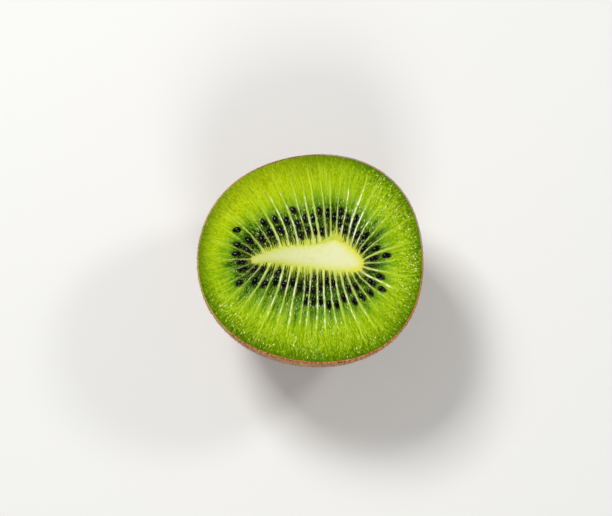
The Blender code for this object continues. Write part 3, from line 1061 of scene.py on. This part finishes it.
def seed_material():
    s = Shader("kiwi_seed")
    tint = s.attribute("tint")
    pits = s.cells(s.place(), 5200.0)["Distance"]
    colour = s.mix(tint, rgb(6, 4, 4), rgb(26, 13, 9))
    colour = s.mix(s.range(pits, 0.15, 0.6, 0.0, 0.6), colour, rgb(4, 3, 3))
    rough = s.plus(s.range(tint, 0.3, 0.9, 0.05, 0.20), s.times(pits, 0.04))
    relief = s.bump(pits, 0.000003)
    return s.finish(Base_Color=colour, Roughness=rough, Normal=relief, IOR=1.45, Specular_IOR_Level=0.22)


def with_lip(s, colour, place, flecks):
    """The skin's cut edge: orange in front, olive at the sides, grey at the upper right, ragged below."""
    lip = s.mix(0.65, colour, rgb(204, 106, 30))
    lip = s.mix(s.range(place["Y"], -0.016, 0.004), lip, rgb(160, 134, 44))
    lip = s.mix(s.range(place["X"], -0.016, -0.022, 0.0, 0.7), lip, rgb(178, 166, 84))
    lip = s.mix(s.range(place["Y"], 0.020, 0.024), lip, rgb(120, 92, 20))
    upper_right = s.plus(place["X"], place["Y"])
    lip = s.mix(s.range(upper_right, 0.0265, 0.0305), lip, rgb(156, 144, 138))
    level = s.plus(place["Z"], s.times(s.minus(flecks, 0.5), 0.0045))
    return s.mix(s.range(level, 0.0324, 0.0332, 0.0, 0.9), colour, lip)


def skin_material():
    s = Shader("kiwi_skin")
    place = s.axes(s.place())
    mottle = s.noise(s.place(), 260.0, 5.0)
    spots = s.noise(s.stretched(s.place(), 1.0, 1.0, 0.28), 2500.0, 3.0)
    flecks = s.noise(s.stretched(s.place(), 1.0, 1.0, 0.32), 1900.0, 2.0)
    near_cut = s.range(place["Z"], 0.0060, 0.0315)
    colour = s.mix(near_cut, s.ramp(mottle, BROWN_COLOURS), s.ramp(mottle, RUSSET_COLOURS))
    pale_spots = s.mix(near_cut, rgb(180, 140, 88), rgb(232, 180, 126))
    dark_spots = s.mix(near_cut, rgb(84, 54, 26), rgb(84, 34, 14))
    pale_share = s.range(near_cut, 0.0, 1.0, 0.25, 0.60)
    dark_share = s.range(near_cut, 0.0, 1.0, 0.30, 0.65)
    colour = s.mix(s.times(s.range(spots, 0.52, 0.60), pale_share), colour, pale_spots)
    colour = s.mix(s.times(s.range(spots, 0.46, 0.37), dark_share), colour, dark_spots)
    front = s.times(s.range(place["Z"], 0.0215, 0.0300), s.range(place["Y"], -0.010, -0.020))
    # Pale flecks on the front band: partly the skin's own flecks, partly painted highlights of light
    # caught on the down
    pale_flecks_and_glints = s.times(s.range(flecks, 0.54, 0.61, 0.0, 0.55), front)
    dark_flecks = s.times(s.range(flecks, 0.45, 0.38, 0.0, 0.65), front)
    colour = s.mix(pale_flecks_and_glints, colour, rgb(244, 196, 150))
    colour = s.mix(dark_flecks, colour, rgb(88, 30, 12))
    colour = with_lip(s, colour, place, flecks)
    relief = s.bump(s.plus(mottle, spots), 0.00012)
    return s.finish(Base_Color=colour, Roughness=s.range(spots, 0.3, 0.7, 0.62, 0.82), Normal=relief)


def down_material():
    s = Shader("kiwi_down")
    place = s.axes(s.place())
    colour = s.mix(s.attribute("tint"), rgb(150, 104, 56), rgb(214, 172, 122))
    colour = s.mix(s.range(s.noise(s.place(), 300.0), 0.35, 0.65, 0.0, 0.35), colour, rgb(186, 126, 84))
    # Painted highlight: the down at the front of the upper side is lightened, standing for light caught
    # on the hairs
    front = s.times(s.range(place["Z"], 0.022, 0.029), s.range(place["Y"], -0.006, -0.018))
    colour = s.mix(s.times(front, 0.5), colour, rgb(220, 172, 118))
    return s.finish(Base_Color=colour, Roughness=0.55)


def scar_material():
    s = Shader("kiwi_stem_scar")
    rays = s.noise(s.fan(14, 5), detail=4.0)
    specks_and_glints = s.range(s.noise(s.place(), 2400.0, 3.0), 0.45, 0.7, 0.0, 0.6)
    colour = s.mix(specks_and_glints, s.ramp(rays, SCAR_COLOURS), rgb(78, 54, 32))
    return s.finish(Base_Color=colour, Roughness=0.8, Normal=s.bump(rays, 0.00010))


def floor_material():
    return Shader("pale_floor").finish(Base_Color=rgb(236, 236, 233), Roughness=0.8)


def make_floor():
    corners = FLOOR_HALF * np.array(((-1, -1), (1, -1), (1, 1), (-1, 1)))
    points = np.column_stack((corners, np.full(4, -FLOOR_DROP)))
    floor = mesh_object("floor", points, [np.array([[0, 1, 2, 3]])], floor_material())


def looking(obj, place, target):
    obj.location = place
    obj.rotation_euler = (Vector(target) - Vector(place)).to_track_quat("-Z", "Y").to_euler()


def make_light(name, azimuth, elevation, size, power):
    """A square soft light, aimed at the middle of the cut face."""
    data = bpy.data.lights.new(name, "AREA")
    data.size = size
    data.energy = power
    light = bpy.data.objects.new(name, data)
    bpy.context.scene.collection.objects.link(light)
    around, up = math.radians(azimuth), math.radians(elevation)
    away = Vector((math.cos(around) * math.cos(up), math.sin(around) * math.cos(up), math.sin(up)))
    looking(light, Vector((0, 0, HEIGHT)) + away * LIGHT_DISTANCE, (0, 0, HEIGHT))


def make_studio():
    world = bpy.data.worlds.new("studio")
    world.use_nodes = True
    background = world.node_tree.nodes["Background"]
    background.inputs["Color"].default_value = (1.0, 1.0, 1.0, 1.0)
    background.inputs["Strength"].default_value = SKY_STRENGTH
    bpy.context.scene.world = world
    for name, light in LIGHTS.items():
        make_light(name, *light)
    bpy.context.scene.view_settings.view_transform = "Standard"


def make_camera():
    """Looks down on the cut face, with the face where the photograph has it."""
    pixel = FACE_MM_PER_PX * MM
    data = bpy.data.cameras.new("camera")
    data.sensor_width = SENSOR_WIDTH_MM
    data.lens = SENSOR_WIDTH_MM * CAMERA_DISTANCE / (FRAME_WIDTH_PX * pixel)
    camera = bpy.data.objects.new("camera", data)
    bpy.context.scene.collection.objects.link(camera)
    up = Vector((0, math.sin(CAMERA_ELEVATION), math.cos(CAMERA_ELEVATION)))
    back = Vector((0, -math.cos(CAMERA_ELEVATION), math.sin(CAMERA_ELEVATION)))
    aim = Vector((-FACE_RIGHT_OF_MIDDLE_PX * pixel, 0, HEIGHT)) - up * FACE_ABOVE_MIDDLE_PX * pixel
    looking(camera, aim + back * CAMERA_DISTANCE, aim)
    bpy.context.scene.camera = camera


def main():
    seeds = seed_places()
    dressed = (
        (make_flesh(seeds, flesh_material()), "flesh"),
        (make_core(core_material()), "core"),
        (make_seeds(seeds, seed_material()), "seed"),
        (make_skin(skin_material()), "skin"),
        (make_down(down_material()), "skin"),
        (make_stem_scar(scar_material()), "skin"),
    )
    for piece, slot in dressed:
        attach(piece, "root")
        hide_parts(NODE)
    make_floor()
    make_studio()
    make_camera()


main()
